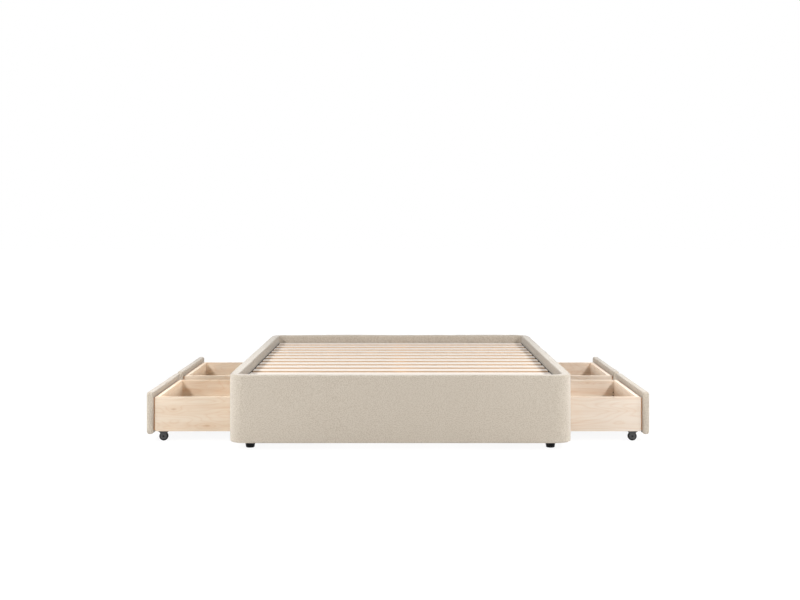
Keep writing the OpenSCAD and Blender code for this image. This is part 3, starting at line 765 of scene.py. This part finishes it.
def softwood(name, grain, thick, pale, dark, knots=0.42, relief=0.35, roughness=0.6, gloss=0.2):
    """Growth rings are the contours of a noise that is stretched along the grain, drawn into ovals round
    knots, which sit at the points of a Voronoi pattern. The patterns hardly change through a board's
    thickness. Fine fibres are a noise stretched much further, and streaks lie between the two. Each
    pattern's cells are given by the metre, along the grain and across it."""
    material, tree, shader = new_material(name)
    place = part(tree, "TexCoord").outputs["Object"]

    def stretched(cells):
        """The place in cells along the grain, across it and, slower, through the thickness."""
        along, across = cells
        scales = {grain: along, thick: across * THROUGH_SCALE}
        scale = tuple(scales.get(axis, across) for axis in "XYZ")
        return part(tree, "Mapping", {"Vector": place, "Scale": scale}).outputs[0]

    def fade(start, end, most):
        """Falls to nothing from the middle of a cell outwards, and is nothing in a cell without a knot."""
        falling = part(tree, "MapRange", {"Value": cell["Distance"], "From Min": start, "From Max": end,
                                          "To Min": most, "To Max": 0.0}, interpolation_type="SMOOTHSTEP")
        return times(tree, falling.outputs[0], present)

    knot_cells = {"Vector": stretched(KNOT_CELLS), "Scale": 1.0, "Randomness": 1.0}
    cell = part(tree, "TexVoronoi", knot_cells).outputs
    chance = part(tree, "SeparateColor", {"Color": cell["Color"]}).outputs[0]
    present = part(tree, "Math", {0: chance, 1: KNOT_CHANCE}, operation="GREATER_THAN").outputs[0]
    near = fade(0.0, KNOT_REACH, 1.0)
    knot = fade(*KNOT_CORE, knots)
    field = noise(tree, stretched(RING_CELLS), 1.0, 2.0, Roughness=0.4, Distortion=0.15)
    field = times_plus(tree, near, KNOT_SWELL, field)
    ring = part(tree, "Math", {0: times(tree, field, RING_COUNT), 1: 0.5}, operation="PINGPONG").outputs[0]
    late = part(tree, "Math", {0: times(tree, ring, 2.0), 1: RING_SHARPNESS}, operation="POWER").outputs[0]
    fibre = noise(tree, stretched(FIBRE_CELLS), 1.0, 2.0)
    streak = noise(tree, stretched(STREAK_CELLS), 1.0, 3.0)
    tone = times_plus(tree, late, RING_SHARE, TONE_OFFSET)
    tone = times_plus(tree, fibre, FIBRE_SHARE, tone)
    tone = times_plus(tree, streak, STREAK_SHARE, tone)
    tone = times_plus(tree, near, KNOT_SHARE, tone, clamp=True)
    wood = blend(tree, knot, blend(tree, tone, (*pale, 1), (*dark, 1)), KNOT_COLOUR)
    tree.links.new(wood, shader.inputs["Base Color"])
    emboss(tree, shader, times_plus(tree, late, RING_RELIEF, fibre), relief, WOOD_BUMP)
    shader.inputs["Roughness"].default_value = roughness
    shader.inputs["Specular IOR Level"].default_value = gloss
    return material


for side in ("left", "right"):
    pale, dark = PINE_PALE[side], PINE_DARK[side]
    long_boards = softwood(side + "_side_pine", "X", "Y", pale, dark)
    panels = softwood(side + "_bottom_pine", "X", "Z", PANEL_PALE, PANEL_DARK)
    # Front and back boards: the side pine brightened by a gain, painted light on their inner faces inside
    # the box.
    cross_boards_painted_light = softwood(side + "_cross_pine_painted_light", "Y", "X", [CROSS_PAINTED_LIGHT_GAIN * tone for tone in pale],
                            [CROSS_PAINTED_LIGHT_GAIN * tone for tone in dark])
    for drawer in (side + "_front", side + "_rear"):
        dress(long_boards, drawer + "_box_sides")
        dress(panels, drawer + "_box_bottom")
        dress(cross_boards_painted_light, drawer + "_box_front", drawer + "_box_back")


# Slats, and the beam and posts under them: planed softwood too. The slats are an even cut with few
# knots. Their flat faces are sanded pale and smooth; their edges get painted shade, a warmer, darker
# tone that stands in for the shade and warm bounce light between the slats.
SLAT_PALE = (0.752, 0.668, 0.598)
SLAT_DARK = (0.740, 0.652, 0.578)
SLAT_EDGE_PAINTED_SHADE = (0.78, 0.55, 0.36, 1)
FRAME_PALE = (0.76, 0.58, 0.40)
FRAME_DARK = (0.56, 0.36, 0.20)
FLAT_LIMIT = 0.6

slat_wood = softwood("slat_wood", "X", "Z", SLAT_PALE, SLAT_DARK, knots=0.1, relief=0.02, roughness=0.5,
                     gloss=0.3)
slat_tree = slat_wood.node_tree
slat_base = slat_tree.nodes["Principled BSDF"].inputs["Base Color"]
slat_normal = part(slat_tree, "TexCoord").outputs["Normal"]
upright = part(slat_tree, "SeparateXYZ", {0: slat_normal}).outputs[2]
either_way = part(slat_tree, "Math", {0: upright}, operation="ABSOLUTE").outputs[0]
flat_face = part(slat_tree, "Math", {0: either_way, 1: FLAT_LIMIT}, operation="GREATER_THAN").outputs[0]
# Faces that do not lie flat get the painted shade colour instead of the pale wood: a warmer, darker tone
# standing in for the shade between the slats.
slat_tree.links.new(blend(slat_tree, flat_face, SLAT_EDGE_PAINTED_SHADE, slat_base.links[0].from_socket), slat_base)
dress(slat_wood, "slats")
dress(softwood("beam_wood", "Y", "X", FRAME_PALE, FRAME_DARK), "centre_beam")
dress(softwood("post_wood", "Z", "X", FRAME_PALE, FRAME_DARK), "frame_posts")


# Boards inside the covers and the drawer fronts: pressed board, whose raw orange edge shows in
# the gap behind each drawer front.
BOARD_PALE = (0.78, 0.48, 0.29, 1)
BOARD_DARK = (0.56, 0.31, 0.16, 1)
CHIPS_PER_METRE = 210.0
DUST_SCALE = 900.0

pressed_board, board_tree, board_shader = new_material("pressed_board")
board_place = part(board_tree, "TexCoord").outputs["Object"]
chips = part(board_tree, "TexVoronoi", {"Vector": board_place, "Scale": CHIPS_PER_METRE}).outputs["Color"]
chip = part(board_tree, "SeparateColor", {"Color": chips}).outputs[0]
speckle = times(board_tree, chip, noise(board_tree, board_place, DUST_SCALE, 2.0))
board_tree.links.new(blend(board_tree, speckle, BOARD_PALE, BOARD_DARK), board_shader.inputs["Base Color"])
emboss(board_tree, board_shader, speckle, 0.3, 0.0004)
board_shader.inputs["Roughness"].default_value = 0.85
dress(pressed_board, "foot_board", "head_board", "left_board", "right_board",
      *[drawer + "_drawer_panel" for drawer in DRAWERS])


# Black parts: powder-coated ledgers and legs of steel, and moulded glides and castor housings.
# The coat has a fine orange peel, the plastic a finer grain.
COAT_GRAIN = 900.0
COAT_BUMP = 0.0002
PLASTIC_GRAIN = 1600.0
PLASTIC_BUMP = 0.0001
BROAD_GRAINS = 12
COAT_TONES = (0.004, 0.004, 0.004, 1), (0.008, 0.008, 0.008, 1)
GLIDE_TONES = (0.004, 0.004, 0.005, 1), (0.008, 0.008, 0.009, 1)
HOUSING_TONES = (0.040, 0.040, 0.041, 1), (0.058, 0.058, 0.059, 1)


def dark_finish(name, tones, grain, depth, roughness, gloss=0.5):
    """A fine noise, in grains per metre, sets the height and the roughness, and a broad one mixes the
    two tones."""
    material, tree, shader = new_material(name)
    place = part(tree, "TexCoord").outputs["Object"]
    fine = noise(tree, place, grain, 2.0)
    broad = noise(tree, place, grain / BROAD_GRAINS, 2.0)
    tree.links.new(blend(tree, broad, *tones), shader.inputs["Base Color"])
    tree.links.new(times_plus(tree, fine, 0.2, roughness - 0.1), shader.inputs["Roughness"])
    emboss(tree, shader, fine, 0.4, depth)
    shader.inputs["Specular IOR Level"].default_value = gloss
    return material


dress(dark_finish("black_coat", COAT_TONES, COAT_GRAIN, COAT_BUMP, 0.5, gloss=0.2),
      "side_ledgers", "centre_legs")
dress(dark_finish("black_plastic", GLIDE_TONES, PLASTIC_GRAIN, PLASTIC_BUMP, 0.5, gloss=0.15),
      "glides")
dress(dark_finish("housing_plastic", HOUSING_TONES, PLASTIC_GRAIN, PLASTIC_BUMP, 0.45),
      *[drawer + "_castors" for drawer in DRAWERS])


# Steel parts: the bent hangers that hold the beam on the end boards, and the bolts that join the
# posts to the boards. Both are zinc plated, and the plating has a faint flake.
ZINC_DARK = (0.58, 0.59, 0.61, 1)
ZINC_PALE = (0.66, 0.67, 0.68, 1)
FLAKES_PER_METRE = 260.0

zinc, zinc_tree, zinc_shader = new_material("zinc_plate")
zinc_place = part(zinc_tree, "TexCoord").outputs["Object"]
spangle = part(zinc_tree, "TexVoronoi", {"Vector": zinc_place, "Scale": FLAKES_PER_METRE}).outputs["Color"]
flake = part(zinc_tree, "SeparateColor", {"Color": spangle}).outputs[0]
zinc_tree.links.new(blend(zinc_tree, flake, ZINC_DARK, ZINC_PALE), zinc_shader.inputs["Base Color"])
zinc_tree.links.new(times_plus(zinc_tree, flake, 0.14, 0.28), zinc_shader.inputs["Roughness"])
zinc_shader.inputs["Metallic"].default_value = 1.0
dress(zinc, "beam_hangers", "panel_bolts")


# Castor wheels: a hard rubber tyre moulded round a grey hub. The axle runs in the hub's bore, and
# a shallow recess on each side keeps the cheeks clear of the tyre.
WHEEL_NODES = [f"{drawer}_wheel_{number}" for drawer in DRAWERS for number in (1, 2, 3, 4)]
wheel_low, wheel_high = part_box(WHEEL_NODES[0])
WHEEL_RADIUS = (wheel_high[2] - wheel_low[2]) / 2
WHEEL_HALF = (wheel_high[1] - wheel_low[1]) / 2
BORE = 0.00305
BORE_CHAMFER = 0.0004
RECESS = 0.0012
BOSS = 0.0060
BOSS_EDGE = ((-0.0006, 0.0), (-0.0001, -0.0003), (0.0003, -0.0010))
BOSS_FOOT = 0.0008
TYRE_INNER = 0.0150
TYRE_EDGE = ((-0.0002, -0.0010), (0.0, -0.0006), (0.0005, 0.0))
TYRE_FOOT = 0.0010
TYRE_ROUND = 0.0030
JOINT_RADIUS = TYRE_INNER - 0.0012
JOINT_HALF = 0.0004
JOINT_GROOVE = 0.0004
WHEEL_STEP = 0.0016
TYRE_STEP = 0.0012
HUB_GREY = (0.09, 0.09, 0.095, 1)
TYRE_TONES = (0.005, 0.005, 0.005, 1), (0.015, 0.0145, 0.014, 1)
SCUFF_SCALE = 700.0
FULL_TURN = np.linspace(0, 2 * math.pi, 73)


def wheel_section():
    """Half of the wheel's section from the bore out to the middle of the tread. First column: radius;
    second: distance from the wheel's middle plane. The recess has a rounded edge at the boss and at the
    tyre, each given by steps from that edge, and a groove at the joint of the hub and the tyre."""
    sunk = WHEEL_HALF - RECESS
    return np.concatenate([
        [(BORE, 0.0), (BORE, WHEEL_HALF / 2), (BORE, WHEEL_HALF - BORE_CHAMFER),
         (BORE + BORE_CHAMFER, WHEEL_HALF)],
        np.array(BOSS_EDGE) + (BOSS, WHEEL_HALF),
        run((BOSS + BOSS_FOOT, sunk), (JOINT_RADIUS - 3 * JOINT_HALF, sunk), WHEEL_STEP),
        [(JOINT_RADIUS - JOINT_HALF, sunk), (JOINT_RADIUS, sunk - JOINT_GROOVE),
         (JOINT_RADIUS + JOINT_HALF, sunk)],
        np.array(TYRE_EDGE) + (TYRE_INNER, WHEEL_HALF),
        run((TYRE_INNER + TYRE_FOOT, WHEEL_HALF), (WHEEL_RADIUS - TYRE_ROUND, WHEEL_HALF), TYRE_STEP),
        arc((WHEEL_RADIUS - TYRE_ROUND, WHEEL_HALF - TYRE_ROUND), TYRE_ROUND, 90, 0, 7),
        run((WHEEL_RADIUS, WHEEL_HALF - TYRE_ROUND), (WHEEL_RADIUS, 0), WHEEL_STEP),
        [(WHEEL_RADIUS, 0.0)],
    ])


def middle_of(node):
    """The middle of a node's box."""
    low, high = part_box(node)
    return (np.array(low) + np.array(high)) / 2


def lathed(centre, profile, around):
    """A sheet for grid_piece: a profile carried round an axis along Y through a centre, at given angles.
    First column of the profile: radius; second: distance along the axis."""
    radius = profile[:, 0]
    points = np.stack(np.broadcast_arrays(np.cos(around)[:, None] * radius, profile[None, :, 1],
                                          np.sin(around)[:, None] * radius), axis=-1)
    return centre + points, pairs(around, radius)[..., ::-1], None


rubber, rubber_tree, rubber_shader = new_material("tyre_and_hub")
wheel_place = part(rubber_tree, "TexCoord").outputs
from_axle = part(rubber_tree, "SeparateXYZ", {0: wheel_place["UV"]}).outputs[0]
on_tyre = part(rubber_tree, "MapRange", {"Value": from_axle, "From Min": JOINT_RADIUS - JOINT_HALF / 2,
                                         "From Max": JOINT_RADIUS + JOINT_HALF / 2}).outputs[0]
scuff = noise(rubber_tree, wheel_place["Object"], SCUFF_SCALE, 3.0)
wheel_colour = blend(rubber_tree, on_tyre, HUB_GREY, blend(rubber_tree, scuff, *TYRE_TONES))
rubber_tree.links.new(wheel_colour, rubber_shader.inputs["Base Color"])
rubber_tree.links.new(times_plus(rubber_tree, scuff, 0.3, 0.42), rubber_shader.inputs["Roughness"])
emboss(rubber_tree, rubber_shader, scuff, 0.3, 0.0001)
rubber_shader.inputs["Specular IOR Level"].default_value = 0.2

half_section = wheel_section()
full_section = np.concatenate([half_section, (half_section * np.array([1, -1]))[::-1][1:]])
for name in WHEEL_NODES:
    wheel = grid_piece(name + "_lathed", [lathed(middle_of(name), full_section, FULL_TURN)], rubber)
    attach(wheel, name)
    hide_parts(name)


# Axle heads: the rounded black heads of each castor's steel axle, which is riveted over on the
# outside of each cheek.
AXLE_HEAD_RADIUS = 0.0040
AXLE_HEAD_HEIGHT = 0.0019
CHEEK_OUTSIDE = 0.0113
DOME = np.radians(np.linspace(90, 0, 7))

axle_black = dark_finish("axle_black", COAT_TONES, PLASTIC_GRAIN, PLASTIC_BUMP, 0.7, gloss=0.1)


def domed_head(centre, radius, height, lift, side, around):
    """A sheet for grid_piece: a dome with a section of a quarter ellipse, which faces along Y on one side
    of a centre, with its edge lifted from that centre."""
    profile = np.stack([radius * np.cos(DOME), (height * np.sin(DOME) + lift) * side], axis=1)
    return lathed(centre, profile, around * side)


for drawer in DRAWERS:
    sheets = [domed_head(middle_of(f"{drawer}_wheel_{number}"), AXLE_HEAD_RADIUS, AXLE_HEAD_HEIGHT,
                         CHEEK_OUTSIDE, side, FULL_TURN[::2])
              for number in (1, 2, 3, 4) for side in (-1, 1)]
    heads = grid_piece(drawer + "_axle_heads", sheets, axle_black)
    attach(heads, drawer + "_drawer")


# Corner screws: two black heads in the right front drawer, on the far side board close to the front
# board, one above the other.
SCREW_RADIUS = 0.0030
SCREW_HEAD = 0.0013
SCREW_INSET = 0.0042
SCREW_LEVELS = (0.085, 0.102)

front_low, front_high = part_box("right_front_box_front")
sheets = [domed_head(np.array([front_low[0] - SCREW_INSET, front_high[1], front_low[2] + level]),
                     SCREW_RADIUS, SCREW_HEAD, 0.0, -1, FULL_TURN[::3]) for level in SCREW_LEVELS]
screws = grid_piece("right_front_corner_screws", sheets, axle_black)
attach(screws, "right_front_drawer")
